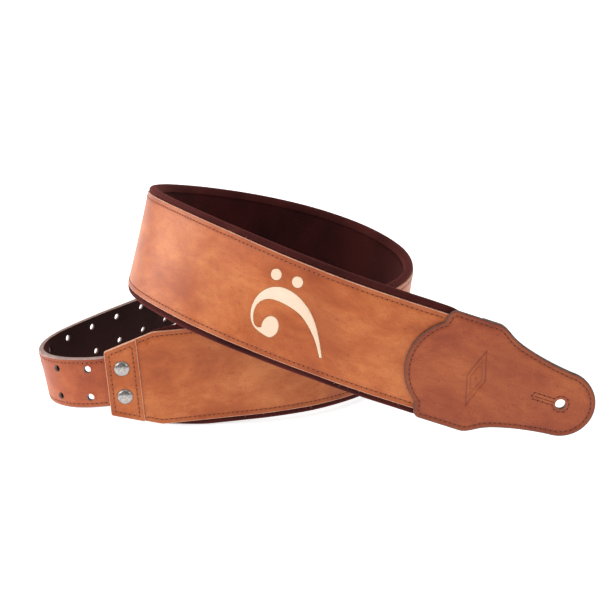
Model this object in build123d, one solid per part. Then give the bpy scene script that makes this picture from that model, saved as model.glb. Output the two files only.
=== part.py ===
from build123d import *
import os
from math import ceil, cos, radians, sin

# A wide padded leather bass strap, coiled and standing on its long edge. Millimetres and degrees.
# Every layer follows one line along the strap's face. "distance" runs along that line from the two
# binding screws, "across" is over the strap's width and upwards, "out" leaves the face leather.

# ---- where the strap lies ----
START = (-125.63, -101.20, 35.83)  # the point of the face leather midway between the two screws
HEADING = 6.3                    # direction of the strap there, turned from +X towards +Y
CLIMB = 3.5
LEAN = -6.9
# (length, bend, twist) of each stretch, leather does not bend edgewise
SHOULDER_ROUTE = [
    (85.0, 0.0, 0.0),
    (47.5, 15.0, -1.5), (47.5, 20.5, 2.5), (47.5, 22.5, 5.0), (47.5, 22.0, 6.5), (47.5, 21.5, 4.0),
    (47.5, 22.5, 1.0), (47.5, 26.0, 1.5), (47.5, 28.5, 3.0), (47.5, 27.5, 4.0), (47.5, 22.5, 4.0),
    (47.5, 17.0, 1.0), (47.5, 15.0, -3.0), (47.5, 18.0, -5.5), (47.5, 21.5, -7.5), (47.5, 20.5, 0.5),
    (47.5, 14.0, 9.0), (47.5, 9.0, 4.5), (47.5, 9.0, -1.0),
    (140.0, 0.0, 0.0),
]
TAIL_ROUTE = [
    (15.0, 0.0, 0.0),
    (22.0, 25.0, 1.0), (22.0, 28.5, -3.5), (22.0, 30.0, -4.0), (22.0, 26.5, 0.0), (22.0, 21.5, 2.5),
    (50.0, 7.5, 6.0), (50.0, -2.0, 6.0), (50.0, 0.0, 1.5),
    (50.0, 0.0, 0.0),
]
MAX_TURN = 8.0                   # largest bend between two sections of a loft

# ---- padded shoulder ----
FACE_HALF = 34.5                 # half width of the face leather
FACE_THICK = 2.0
EDGE_HALF = 39.0                 # half width over the rolled suede edges
PADDED_DEPTH = 8.0               # face to back where the padding is full
SKIVED_DEPTH = 4.4               # face to back where the padding is skived away at both ends
SUEDE_THICK = 0.9
LIP_THICK = 0.7                  # suede turned over the padding, under the face leather
LIP_INNER = 30.0                 # where that turned lip ends
ROLL_CHAMFER = 0.9
ROLL_WALL = 1.2
GAP = 0.05                       # between neighbouring layers
FACE_END = 985.0                 # end of the face leather, under the end tab
PAD_START, PAD_FULL = 22.0, 50.0
PAD_THIN, PAD_END = 945.0, 976.0
BACK_THICK = 1.5                 # suede alone, beyond the padding

# ---- yoke: the tapered end that carries the tail ----
YOKE_START = -11.2
YOKE_HALF = 23.5
TAPER_END = 24.0
PATCH_END = 12.0
PATCH_THICK = 1.6
PATCH_TOP = GAP + PATCH_THICK

# ---- tail strap ----
TAIL_HALF = 18.5
TAIL_LEATHER = 2.2
TAIL_LINING = 1.6
TAIL_FACE = -3.65                # level of the tail's face behind the yoke
TAIL_INNER_END = -15.0           # the tail reaches this far past the screws, behind the yoke
TAIL_FLAT = 275.0                # the last 50 mm is flat
TAIL_TIP = 325.0
TAIL_BUTTON = 303.0              # button hole of the tail
HOLE_PITCH = 25.0
HOLE_PAIRS = 11
ROW_HALF = 10.4
HOLE_R = 2.6

# ---- end tab, sizes from its button hole ----
TAB_HOLE = 1054.0                # distance of the button hole along the route
TAB_THICK = 2.2
TAB_LINING = 1.75
TAB_LINING_START = -68.5
TAB_TIP_R = 22.6
TAB_TIP_CENTRE = 0.5
LOBE_R = 34.9
LOBE_CENTRE = -72.1
NOTCH = (-91.5, 29.0)
SHOULDER_START, SHOULDER_END = -84.5, -57.0
NECK = (-33.0, 28.8)
BUTTON_R = 3.5
SLIT_LENGTH = 18.0
SLIT_WIDTH = 0.8

# ---- binding posts and screws ----
BARREL_R = 2.5
POST_HEAD_R = 5.5
POST_RIM = 0.5
POST_DOME = 1.2
POST_BOTTOM = -7.4
SCREW_R = 1.7
SCREW_BORE_R = 1.75
SCREW_TIP = -0.3
BORE_END = 0.2
SCREW_HEAD_R = 4.9
SCREW_HEAD_TOP = -7.55
SCREW_HEAD_THICK = 1.4
SCREW_SLOT = (1.0, 0.7)          # width and depth

# ---- seams and inlay ----
SEAM_INSET = 3.3
THREAD_HALF = 0.3
THREAD_LIFT = 0.03
THREAD_HIGH = 0.35
SEAM_START, SEAM_END = 14.0, 960.0
CLEF_AT = 865.0
CLEF_DOTS = [(-17.4, 20.6), (-1.9, 21.2)]
CLEF_DOT_R = 4.05
CLEF_BALL = (-9.9, -14.0)
CLEF_BALL_RADII = (6.1, 7.6)
CLEF_OUTER = [
    (30.1, -21.6), (22.2, -6.3), (13.8, 4.8), (6.3, 10.4), (-3.0, 14.0), (-12.4, 13.9), (-21.5, 8.5),
    (-26.6, -5.1), (-22.3, -16.9), (-9.4, -21.5),
]
CLEF_INNER = [
    (-15.0, -15.8), (-18.0, -17.3), (-23.4, -9.6), (-22.0, -1.2), (-17.0, 3.0), (-10.9, 4.1), (-1.5, 3.4),
    (6.6, 1.0), (15.3, -5.2), (21.2, -11.6), (28.0, -22.2),
]


# ---- the line the strap follows ----
def swing(vector, axis, angle):
    """The vector turned about a unit axis, angle in radians."""
    level = axis * (axis.dot(vector) * (1 - cos(angle)))
    return vector * cos(angle) + axis.cross(vector) * sin(angle) + level


def carry(frame, stretch, distance):
    """The frame moved along a stretch of constant bend and twist, which is a piece of a helix."""
    point, along, across = frame
    length, bend, twist = stretch
    spin = across * radians(bend / length) + along * radians(twist / length)
    rate = spin.length
    if rate < 1e-9:
        return point + along * distance, along, across
    axis = spin * (1 / rate)
    angle = rate * distance
    level = axis * axis.dot(along)
    moved = point + level * distance + (along - level) * (sin(angle) / rate)
    moved = moved + axis.cross(along) * ((1 - cos(angle)) / rate)
    return moved, swing(along, axis, angle), swing(across, axis, angle)


class Route:
    """The strap's line from the screws: direction is 1 towards the end tab and -1 along the tail."""

    def __init__(self, frame, stretches, direction):
        self.direction = direction
        self.stretches = stretches
        self.knots = [0.0]
        self.frames = [frame]
        for stretch in stretches:
            self.frames.append(carry(self.frames[-1], stretch, direction * stretch[0]))
            self.knots.append(self.knots[-1] + stretch[0])

    def frame(self, distance):
        """Point, along, across and out at a distance. The flat end runs on below zero."""
        index = 0
        while index < len(self.stretches) - 1 and distance > self.knots[index + 1]:
            index += 1
        step = self.direction * (distance - self.knots[index])
        point, along, across = carry(self.frames[index], self.stretches[index], step)
        return point, along, across, along.cross(across)

    def stations(self, start, end, extra=()):
        """The distances of a loft's sections from start to end."""
        marks = set(self.knots) | set(extra)
        for knot, (length, bend, _) in zip(self.knots, self.stretches):
            steps = max(1, ceil(abs(bend) / MAX_TURN))
            marks |= {knot + length * i / steps for i in range(steps)}
        return [start] + sorted(mark for mark in marks if start < mark < end) + [end]

    def plane(self, distance, across_place=0.0):
        """A plane on the face: x along the strap, y across it, z out of it."""
        point, along, across, out = self.frame(distance)
        return Plane(origin=point + across * across_place, x_dir=along, z_dir=out)


def start_frame():
    """The upright frame at the screws, turned by heading, climb and lean."""
    along = Vector(
        cos(radians(CLIMB)) * cos(radians(HEADING)),
        cos(radians(CLIMB)) * sin(radians(HEADING)),
        sin(radians(CLIMB)),
    )
    upright = Vector(0, 0, 1) - along * along.Z
    across = swing(upright.normalized(), along, radians(LEAN))
    return Vector(*START), along, across


FRAME = start_frame()
SHOULDER = Route(FRAME, SHOULDER_ROUTE, 1)
TAIL = Route((FRAME[0] + FRAME[1].cross(FRAME[2]) * TAIL_FACE, FRAME[1], FRAME[2]), TAIL_ROUTE, -1)


# ---- building blocks ----
def band(route, distances, section):
    """A ruled loft through the section at each distance; a section lists (across, out) corners."""
    wires = []
    for distance in distances:
        point, _, across, out = route.frame(distance)
        corners = [point + across * w + out * n for w, n in section(distance)]
        wires.append(Wire.make_polygon(corners))
    return Solid.make_loft(wires, ruled=True)


def plate(plane, sketch, low, high):
    """A flat outline made solid between two levels out of a plane."""
    return extrude(plane.offset(low) * sketch, amount=high - low, dir=plane.z_dir)


def box_section(half, low, high):
    return [(-half, low), (half, low), (half, high), (-half, high)]


def ramp(value, low, high):
    """0 below low, 1 above high, straight between."""
    return min(1.0, max(0.0, (value - low) / (high - low)))


def polygon(points):
    return make_face(Polyline(*points, close=True))


def keyhole(radius, slit_half, length):
    """A round hole with a slit running back along the strap from it."""
    return Circle(radius) + Pos(-length / 2, 0) * Rectangle(length, 2 * slit_half)


def screw_holes(solid, low, high):
    """The solid with the two binding holes through it between two levels."""
    for side in (1, -1):
        plane = SHOULDER.plane(0, side * ROW_HALF)
        solid = solid - plate(plane, Circle(HOLE_R), low, high)
    return solid


# ---- the padded shoulder ----
def face_half(distance):
    """Half width of the face leather, which tapers to the yoke."""
    return YOKE_HALF + (FACE_HALF - YOKE_HALF) * ramp(distance, YOKE_START, TAPER_END)


def roll_half(distance):
    """Half width over the suede, which grows proud of the leather past the yoke."""
    return face_half(distance) + (EDGE_HALF - FACE_HALF) * ramp(distance, PAD_START, 60.0)


def depth(distance):
    """Face to back of the padded strap."""
    full = ramp(distance, PAD_START, PAD_FULL) * (1 - ramp(distance, PAD_THIN, PAD_END))
    return SKIVED_DEPTH + (PADDED_DEPTH - SKIVED_DEPTH) * full


LIP_TOP = -(FACE_THICK + GAP)
LIP_BOTTOM = LIP_TOP - LIP_THICK
MARKS = (TAPER_END, PAD_FULL, 60.0, PAD_THIN, CLEF_AT)


def suede_section(distance):
    """The suede's back, its rolled edges and the lips turned in under the face leather."""
    half = roll_half(distance)
    back = -depth(distance)
    inner = half - ROLL_WALL
    right = [
        (half - ROLL_CHAMFER, back),
        (half, back + ROLL_CHAMFER),
        (half, LIP_TOP - ROLL_CHAMFER),
        (half - ROLL_CHAMFER, LIP_TOP),
        (LIP_INNER, LIP_TOP),
        (LIP_INNER, LIP_BOTTOM),
        (inner, LIP_BOTTOM),
        (inner, back + SUEDE_THICK),
    ]
    return right + [(-w, n) for w, n in reversed(right)]


def padding_section(distance):
    """The foam: it fills the suede and rises between the turned lips."""
    inner = roll_half(distance) - ROLL_WALL - GAP
    bottom = SUEDE_THICK + GAP - depth(distance)
    right = [
        (inner, bottom),
        (inner, LIP_BOTTOM - GAP),
        (LIP_INNER - GAP, LIP_BOTTOM - GAP),
        (LIP_INNER - GAP, LIP_TOP),
    ]
    return right + [(-w, n) for w, n in reversed(right)]


def yoke_outline(start, end):
    points = [(start, face_half(start)), (end, face_half(end))]
    return polygon(points + [(x, -y) for x, y in reversed(points)])


def clef_outline():
    """The body of the clef: two long curves that meet in a ball."""
    outer = Spline(*CLEF_OUTER)
    inner = Spline(*CLEF_INNER)
    tip = Line(CLEF_INNER[-1], CLEF_OUTER[0])
    closing = Line(CLEF_OUTER[-1], CLEF_INNER[0])
    return make_face([outer, closing, inner, tip]) + Pos(*CLEF_BALL) * Ellipse(*CLEF_BALL_RADII)


def make_shoulder():
    """The face leather with its inlay, and the padding and suede behind it."""
    face = band(
        SHOULDER,
        SHOULDER.stations(YOKE_START, FACE_END, MARKS),
        lambda s: box_section(face_half(s), -FACE_THICK, 0.0),
    )
    face = screw_holes(face, -5, 5)
    clef_plane = SHOULDER.plane(CLEF_AT)
    cutters = {"clef_inlay": plate(clef_plane, clef_outline(), -6, 6)}
    for name, place in zip(("clef_dot_left", "clef_dot_right"), CLEF_DOTS):
        cutters[name] = plate(clef_plane, Pos(*place) * Circle(CLEF_DOT_R), -6, 6)
    inlays = {name: face & cutter for name, cutter in cutters.items()}
    for cutter in cutters.values():
        face = face - cutter
    distances = SHOULDER.stations(PAD_START, PAD_END, MARKS)
    suede = band(SHOULDER, distances, suede_section)
    yoke_back = plate(SHOULDER.plane(0), yoke_outline(YOKE_START, PAD_START), LIP_TOP - BACK_THICK, LIP_TOP)
    tab_back = Pos((PAD_END + FACE_END) / 2, 0) * Rectangle(FACE_END - PAD_END, 2 * (EDGE_HALF - ROLL_CHAMFER))
    flat = SHOULDER.plane(PAD_END)
    tab_back = plate(flat, Pos(-PAD_END, 0) * tab_back, LIP_TOP - BACK_THICK, LIP_TOP)
    suede = screw_holes(suede + yoke_back + tab_back, -5, 5)
    distances = SHOULDER.stations(PAD_START + 0.3, PAD_END - 0.3, MARKS)
    padding = band(SHOULDER, distances, padding_section)
    patch = plate(SHOULDER.plane(0), yoke_outline(YOKE_START, PATCH_END), GAP, PATCH_TOP)
    patch = screw_holes(patch, -5, 5)
    return {
        "shoulder_leather": face,
        "suede_lining": suede,
        "shoulder_padding": padding,
        "yoke_patch": patch,
        **inlays,
    }


# ---- the tail ----
def tail_end(half):
    """The flat, round end of the tail from the point where it starts, x away from the screws."""
    straight = TAIL_TIP - TAIL_FLAT - TAIL_HALF
    return Pos(straight / 2, 0) * Rectangle(straight, 2 * half) + Pos(straight, 0) * Circle(half)


def tail_layer(low, high):
    """One layer of the tail with its round end, its two rows of holes and its button hole."""
    distances = TAIL.stations(TAIL_INNER_END, TAIL_FLAT)
    layer = band(TAIL, distances, lambda s: box_section(TAIL_HALF, low, high))
    point, along, _, out = TAIL.frame(TAIL_FLAT)
    end_plane = Plane(origin=point, x_dir=along * -1, z_dir=out)
    clip = Pos(50, 0) * Rectangle(100, 100)
    layer = layer + plate(end_plane, tail_end(TAIL_HALF) & clip, low, high)
    button = Pos(TAIL_BUTTON - TAIL_FLAT, 0) * keyhole(BUTTON_R, SLIT_WIDTH / 2, SLIT_LENGTH)
    layer = layer - plate(end_plane, button, -5, 5)
    for pair in range(HOLE_PAIRS):
        for side in (1, -1):
            plane = TAIL.plane(pair * HOLE_PITCH, side * ROW_HALF)
            layer = layer - plate(plane, Circle(HOLE_R), -6, 3)
    return layer


def make_tail():
    """The tail's leather and its lining."""
    return {
        "tail_leather": tail_layer(-TAIL_LEATHER, 0.0),
        "tail_lining": tail_layer(-TAIL_LEATHER - GAP - TAIL_LINING, -TAIL_LEATHER - GAP),
    }


# ---- the end tab ----
def tab_outline(inset=0.0):
    """Round tip, waisted neck, two shoulders at the strap's edges and a lobe between two notches."""
    def flip(point):
        return point[0], -point[1]

    half = EDGE_HALF - inset
    tip_side = (TAB_TIP_CENTRE, TAB_TIP_R - inset)
    notch = (NOTCH[0] + 0.9 * inset, NOTCH[1] - 0.4 * inset)
    corner = (-90.6 + inset, 34.5 - 0.3 * inset)
    bulge = (-88.8 + 0.7 * inset, 37.7 - 0.7 * inset)
    flare = (-45.0 - 0.5 * inset, 33.6 - 0.9 * inset)
    edges = [
        ThreePointArc(flip(tip_side), (TAB_TIP_CENTRE + TAB_TIP_R - inset, 0), tip_side),
        ThreePointArc(notch, (LOBE_CENTRE - LOBE_R + inset, 0), flip(notch)),
    ]
    for mirror in (lambda point: point, flip):
        neck = (tip_side, (NECK[0], NECK[1] - inset), flare, (SHOULDER_END, half))
        slope = [mirror((-1.0, 0.1)), (-1.0, 0.0)]
        edges.append(Spline(*[mirror(point) for point in neck], tangents=slope))
        edges.append(Line(mirror((SHOULDER_END, half)), mirror((SHOULDER_START, half))))
        edges.append(ThreePointArc(mirror((SHOULDER_START, half)), mirror(bulge), mirror(corner)))
        edges.append(Line(mirror(corner), mirror(notch)))
    return make_face(edges)


def make_tab():
    """The tab's leather, over the face leather's end, and its lining behind the free part."""
    plane = SHOULDER.plane(TAB_HOLE)
    button = keyhole(BUTTON_R, SLIT_WIDTH / 2, SLIT_LENGTH)
    outline = tab_outline()
    free_part = outline & Pos(TAB_LINING_START + 75, 0) * Rectangle(150, 150)
    return {
        "end_tab_leather": plate(plane, outline - button, GAP, GAP + TAB_THICK),
        "end_tab_lining": plate(plane, free_part - button, -TAB_LINING, 0.0),
    }


# ---- posts and screws ----
def on_yoke(side, solid):
    return SHOULDER.plane(0, side * ROW_HALF).location * solid


def make_post():
    """A domed head on a barrel, bored from behind for its screw."""
    head = PATCH_TOP + GAP
    rim = head + POST_RIM
    barrel = Pos(0, 0, (POST_BOTTOM + head) / 2) * Cylinder(BARREL_R, head - POST_BOTTOM)
    disc = Pos(0, 0, (head + rim) / 2) * Cylinder(POST_HEAD_R, POST_RIM)
    dome_r = (POST_HEAD_R**2 + POST_DOME**2) / (2 * POST_DOME)
    ball = Pos(0, 0, rim + POST_DOME - dome_r) * Sphere(dome_r)
    dome = ball & Pos(0, 0, rim + POST_DOME / 2) * Cylinder(POST_HEAD_R + 1, POST_DOME)
    bore = Pos(0, 0, (POST_BOTTOM + BORE_END) / 2) * Cylinder(SCREW_BORE_R, BORE_END - POST_BOTTOM)
    return barrel + disc + dome - bore


def make_screw():
    """A slotted head behind the tail's lining, on a shank that turns in the post."""
    shank = Pos(0, 0, (SCREW_HEAD_TOP + SCREW_TIP) / 2) * Cylinder(SCREW_R, SCREW_TIP - SCREW_HEAD_TOP)
    middle = SCREW_HEAD_TOP - SCREW_HEAD_THICK / 2
    head = Pos(0, 0, middle) * Cylinder(SCREW_HEAD_R, SCREW_HEAD_THICK)
    width, deep = SCREW_SLOT
    bottom = SCREW_HEAD_TOP - SCREW_HEAD_THICK
    slot = Pos(0, 0, bottom + deep / 2) * Box(3 * SCREW_HEAD_R, width, deep)
    return shank + head - slot


def make_fasteners():
    """The two posts and the two screws that clamp the tail to the yoke."""
    pieces = {}
    for name, side in (("upper", 1), ("lower", -1)):
        pieces["binding_post_" + name] = on_yoke(side, make_post())
        pieces["binding_screw_" + name] = on_yoke(side, make_screw())
    return pieces


# ---- seams: each is one thread lying on the leather ----
def thread_band(route, distances, middle, level):
    """A thread along a route; middle gives its place across at each distance."""
    def section(distance):
        place = middle(distance)
        low = level + THREAD_LIFT
        high = level + THREAD_HIGH
        left, right = place - THREAD_HALF, place + THREAD_HALF
        return [(left, low), (right, low), (right, high), (left, high)]

    return band(route, distances, section)


def ring(plane, outer, inner, level):
    return plate(plane, outer - inner, level + THREAD_LIFT, level + THREAD_HIGH)


def make_threads():
    """The seams along the face, round the yoke patch, round the tab and its hole, and round the tail."""
    distances = SHOULDER.stations(SEAM_START, SEAM_END, MARKS)
    threads = {}
    for name, side in (("upper", 1), ("lower", -1)):
        threads["shoulder_thread_" + name] = thread_band(
            SHOULDER, distances, lambda s, side=side: side * (face_half(s) - SEAM_INSET), 0.0
        )
    yoke = yoke_outline(YOKE_START, PATCH_END)
    near, far = SEAM_INSET - THREAD_HALF, SEAM_INSET + THREAD_HALF
    threads["yoke_thread"] = ring(SHOULDER.plane(0), offset(yoke, -near), offset(yoke, -far), PATCH_TOP)
    plane = SHOULDER.plane(TAB_HOLE)
    level = GAP + TAB_THICK
    threads["tab_thread"] = ring(plane, tab_outline(near), tab_outline(far), level)
    hole_seam = [keyhole(5.6 + d, 2.3 + d, SLIT_LENGTH + 2.0 + d) for d in (THREAD_HALF, -THREAD_HALF)]
    threads["button_hole_thread"] = ring(plane, hole_seam[0], hole_seam[1], level)
    distances = TAIL.stations(1.0 - YOKE_START, TAIL_FLAT)
    point, along, _, out = TAIL.frame(TAIL_FLAT)
    end_plane = Plane(origin=point, x_dir=along * -1, z_dir=out)
    half = TAIL_HALF - SEAM_INSET
    bend = (tail_end(half + THREAD_HALF) - tail_end(half - THREAD_HALF)) & Pos(50, 0) * Rectangle(100, 100)
    tail = plate(end_plane, bend, THREAD_LIFT, THREAD_HIGH)
    for side in (1, -1):
        tail = tail + thread_band(TAIL, distances, lambda s, side=side: side * half, 0.0)
    threads["tail_thread"] = tail
    return threads


def main():
    os.makedirs("parts", exist_ok=True)
    nodes = {**make_shoulder(), **make_tail(), **make_tab(), **make_fasteners(), **make_threads()}
    for name, shape in nodes.items():
        export_step(shape, os.path.join("parts", name + ".step"))


main()
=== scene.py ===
from math import cos, pi, radians, sin

import bpy
import numpy as np
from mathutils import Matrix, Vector
from mathutils.geometry import delaunay_2d_cdt


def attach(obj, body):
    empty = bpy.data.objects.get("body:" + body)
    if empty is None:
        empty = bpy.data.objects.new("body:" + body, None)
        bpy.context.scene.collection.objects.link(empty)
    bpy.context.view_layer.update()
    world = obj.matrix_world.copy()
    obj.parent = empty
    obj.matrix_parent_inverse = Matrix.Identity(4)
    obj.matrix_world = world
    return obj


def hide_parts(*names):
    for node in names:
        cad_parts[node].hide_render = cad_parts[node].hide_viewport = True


# A wide padded leather bass strap, coiled and standing on its long edge. Every layer follows one line
# along the strap's face. A place on it is (along, across, out): the distance along the line from the
# two binding posts, the place over the strap's width, and the height off the face leather. Those are
# in millimetres and become metres in put().
MM = 0.001

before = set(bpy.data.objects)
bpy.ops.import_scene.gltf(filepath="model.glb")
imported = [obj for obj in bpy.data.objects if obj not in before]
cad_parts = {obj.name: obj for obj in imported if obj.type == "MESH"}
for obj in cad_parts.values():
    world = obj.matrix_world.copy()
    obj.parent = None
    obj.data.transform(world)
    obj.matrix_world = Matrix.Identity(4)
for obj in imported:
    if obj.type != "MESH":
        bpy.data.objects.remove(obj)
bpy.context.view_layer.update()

# ---- where the strap lies ----
START = (-125.63, -101.20, 35.83)
HEADING, CLIMB, LEAN = 6.3, 3.5, -6.9
# (length, bend, twist) of each stretch
SHOULDER_ROUTE = [
    (85.0, 0.0, 0.0),
    (47.5, 15.0, -1.5), (47.5, 20.5, 2.5), (47.5, 22.5, 5.0), (47.5, 22.0, 6.5), (47.5, 21.5, 4.0),
    (47.5, 22.5, 1.0), (47.5, 26.0, 1.5), (47.5, 28.5, 3.0), (47.5, 27.5, 4.0), (47.5, 22.5, 4.0),
    (47.5, 17.0, 1.0), (47.5, 15.0, -3.0), (47.5, 18.0, -5.5), (47.5, 21.5, -7.5), (47.5, 20.5, 0.5),
    (47.5, 14.0, 9.0), (47.5, 9.0, 4.5), (47.5, 9.0, -1.0),
    (140.0, 0.0, 0.0),
]
TAIL_ROUTE = [
    (15.0, 0.0, 0.0),
    (22.0, 25.0, 1.0), (22.0, 28.5, -3.5), (22.0, 30.0, -4.0), (22.0, 26.5, 0.0), (22.0, 21.5, 2.5),
    (50.0, 7.5, 6.0), (50.0, -2.0, 6.0), (50.0, 0.0, 1.5),
    (50.0, 0.0, 0.0),
]

# ---- sizes, as in the CAD ----
FACE_HALF, FACE_THICK = 34.5, 2.0
EDGE_HALF = 39.0
PADDED_DEPTH, SKIVED_DEPTH = 8.0, 4.4
FACE_END = 985.0
PAD_START, PAD_FULL = 22.0, 50.0
PAD_THIN, PAD_END = 945.0, 976.0
YOKE_START, YOKE_HALF, TAPER_END = -11.2, 23.5, 24.0
PATCH_END, PATCH_TOP = 12.0, 1.65
GAP = 0.05
TAIL_HALF, TAIL_LEATHER, TAIL_LINING, TAIL_FACE = 18.5, 2.2, 1.6, -3.65
TAIL_INNER_END, TAIL_TIP, TAIL_BUTTON = -15.0, 325.0, 303.0
HOLE_PITCH, HOLE_PAIRS, ROW_HALF, HOLE_R = 25.0, 11, 10.4, 2.6
TAB_HOLE, TAB_TOP, TAB_LINING, TAB_LINING_START = 1054.0, 2.25, 1.75, -68.5
TIP_R, TIP_CENTRE = 22.6, 0.5
LOBE_R, LOBE_CENTRE = 34.9, -72.1
NOTCH = (-91.5, 29.0)
TAB_SHOULDER = (-84.5, -57.0)
NECK = (-33.0, 28.8)
BUTTON_R, SLIT_HALF, SLIT_LENGTH = 3.5, 0.1, 18.0
POST_HEAD_R, POST_BARREL_R, POST_BOTTOM, POST_DOME = 5.5, 2.5, -7.4, 1.45
SCREW_BORE_R, BORE_END = 1.75, 0.2
SEAM_INSET, SEAM_END, STITCH_PITCH = 3.3, 960.0, 3.4
CLEF_AT = 865.0
CLEF_DOTS = {"clef_dot_left": (-17.4, 20.6), "clef_dot_right": (-1.9, 21.2)}
CLEF_DOT_R = 4.05
CLEF_BALL, CLEF_BALL_RADII = (-9.9, -14.0), (6.1, 7.6)
CLEF_OUTER = [
    (30.1, -21.6), (22.2, -6.3), (13.8, 4.8), (6.3, 10.4), (-3.0, 14.0), (-12.4, 13.9), (-21.5, 8.5),
    (-26.6, -5.1), (-22.3, -16.9), (-9.4, -21.5),
]
CLEF_INNER = [
    (-15.7, -16.6), (-18.0, -17.3), (-23.4, -9.6), (-22.0, -1.2), (-17.0, 3.0), (-10.9, 4.1), (-1.5, 3.4),
    (6.6, 1.0), (15.3, -5.2), (21.2, -11.6), (28.0, -22.2),
]


# ---- the line the strap follows ----
def swing(vector, axis, angles):
    """A vector turned about a unit axis by each of the angles, in radians."""
    c, s = np.cos(angles)[:, None], np.sin(angles)[:, None]
    return vector * c + np.cross(axis, vector) * s + axis * (axis @ vector) * (1 - c)


def carry(start, stretch, distances):
    """The frame moved by each distance along a stretch of constant bend and twist."""
    point, along, across = start
    length, bend, twist = stretch
    spin = across * radians(bend / length) + along * radians(twist / length)
    rate = np.linalg.norm(spin)
    steps = distances[:, None]
    if rate < 1e-9:
        same = np.ones_like(steps)
        return point + along * steps, along * same, across * same
    axis = spin / rate
    angles = rate * distances
    level = axis * (axis @ along)
    moved = point + level * steps + (along - level) * np.sin(angles)[:, None] / rate
    moved = moved + np.cross(axis, along) * (1 - np.cos(angles))[:, None] / rate
    return moved, swing(along, axis, angles), swing(across, axis, angles)


class Route:
    """The strap's line from the posts: direction is 1 towards the end tab and -1 along the tail."""

    def __init__(self, start, stretches, direction):
        self.direction = direction
        self.stretches = stretches
        self.knots = np.concatenate([[0.0], np.cumsum([stretch[0] for stretch in stretches])])
        self.starts = [start]
        for stretch in stretches:
            point, along, across = carry(self.starts[-1], stretch, np.array([direction * stretch[0]]))
            self.starts.append((point[0], along[0], across[0]))

    def frames(self, distances):
        """Point, along, across and out at each distance."""
        distances = np.atleast_1d(np.asarray(distances, float))
        index = np.clip(np.searchsorted(self.knots, distances) - 1, 0, len(self.stretches) - 1)
        result = [np.empty((len(distances), 3)) for _ in range(3)]
        for i in np.unique(index):
            here = index == i
            step = self.direction * (distances[here] - self.knots[i])
            for whole, part in zip(result, carry(self.starts[i], self.stretches[i], step)):
                whole[here] = part
        point, along, across = result
        return point, along, across, np.cross(along, across)

    def put(self, places):
        """(along, across, out) places in millimetres, as points in metres."""
        places = np.asarray(places, float)
        point, _, across, out = self.frames(places[:, 0])
        return (point + across * places[:, 1:2] + out * places[:, 2:3]) * MM


def start_frame():
    heading, climb = radians(HEADING), radians(CLIMB)
    along = np.array([cos(climb) * cos(heading), cos(climb) * sin(heading), sin(climb)])
    upright = np.array([0, 0, 1.0]) - along * along[2]
    upright /= np.linalg.norm(upright)
    return np.array(START), along, swing(upright, along, np.array([radians(LEAN)]))[0]


START_FRAME = start_frame()
SHOULDER = Route(START_FRAME, SHOULDER_ROUTE, 1)
TAIL_POINT = START_FRAME[0] + np.cross(START_FRAME[1], START_FRAME[2]) * TAIL_FACE
TAIL = Route((TAIL_POINT, START_FRAME[1], START_FRAME[2]), TAIL_ROUTE, -1)


# ---- outlines: closed loops of (along, across), anticlockwise ----
def arc(centre, radius, first, last, count):
    """Points on a circle or an ellipse, from one angle to another in degrees."""
    angles = np.radians(np.linspace(first, last, count))
    radii = np.broadcast_to(radius, 2)
    return np.column_stack([centre[0] + radii[0] * np.cos(angles), centre[1] + radii[1] * np.sin(angles)])


def arc_through(first, middle, last, count):
    """Points on the circle through three points."""
    (ax, ay), (bx, by), (cx, cy) = first, middle, last
    d = 2 * (ax * (by - cy) + bx * (cy - ay) + cx * (ay - by))
    a2, b2, c2 = ax**2 + ay**2, bx**2 + by**2, cx**2 + cy**2
    centre = np.array([
        (a2 * (by - cy) + b2 * (cy - ay) + c2 * (ay - by)) / d,
        (a2 * (cx - bx) + b2 * (ax - cx) + c2 * (bx - ax)) / d,
    ])
    angles = [np.degrees(np.arctan2(p[1] - centre[1], p[0] - centre[0])) for p in (first, middle, last)]
    turn = (angles[2] - angles[0]) % 360
    if (angles[1] - angles[0]) % 360 > turn:
        turn -= 360
    return arc(centre, np.hypot(ax - centre[0], ay - centre[1]), angles[0], angles[0] + turn, count)


def smooth_line(points, count, slopes=None):
    """A cubic curve through the points; slopes are its directions at the two ends."""
    p = np.array(points, float)
    t = np.concatenate([[0.0], np.cumsum(np.linalg.norm(np.diff(p, axis=0), axis=1))])
    h = np.diff(t)
    n = len(p)
    matrix = np.zeros((n, n))
    right = np.zeros((n, 2))
    for i in range(1, n - 1):
        matrix[i, i - 1 : i + 2] = h[i], 2 * (h[i - 1] + h[i]), h[i - 1]
        right[i] = 3 * (h[i] * (p[i] - p[i - 1]) / h[i - 1] + h[i - 1] * (p[i + 1] - p[i]) / h[i])
    if slopes is None:
        matrix[0, :2] = (2, 1)
        matrix[-1, -2:] = (1, 2)
        right[0] = 3 * (p[1] - p[0]) / h[0]
        right[-1] = 3 * (p[-1] - p[-2]) / h[-1]
    else:
        matrix[0, 0] = matrix[-1, -1] = 1
        right[0], right[-1] = slopes
    m = np.linalg.solve(matrix, right)
    at = np.linspace(0, t[-1], count)
    i = np.clip(np.searchsorted(t, at) - 1, 0, n - 2)
    u = ((at - t[i]) / h[i])[:, None]
    span = h[i][:, None]
    return (
        (1 + 2 * u) * (1 - u) ** 2 * p[i] + u * (1 - u) ** 2 * span * m[i]
        + u**2 * (3 - 2 * u) * p[i + 1] + u**2 * (u - 1) * span * m[i + 1]
    )


def without_repeats(loop):
    """The loop with points that coincide with the one before them left out."""
    return loop[np.linalg.norm(loop - np.roll(loop, 1, axis=0), axis=1) > 1e-6]


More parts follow.
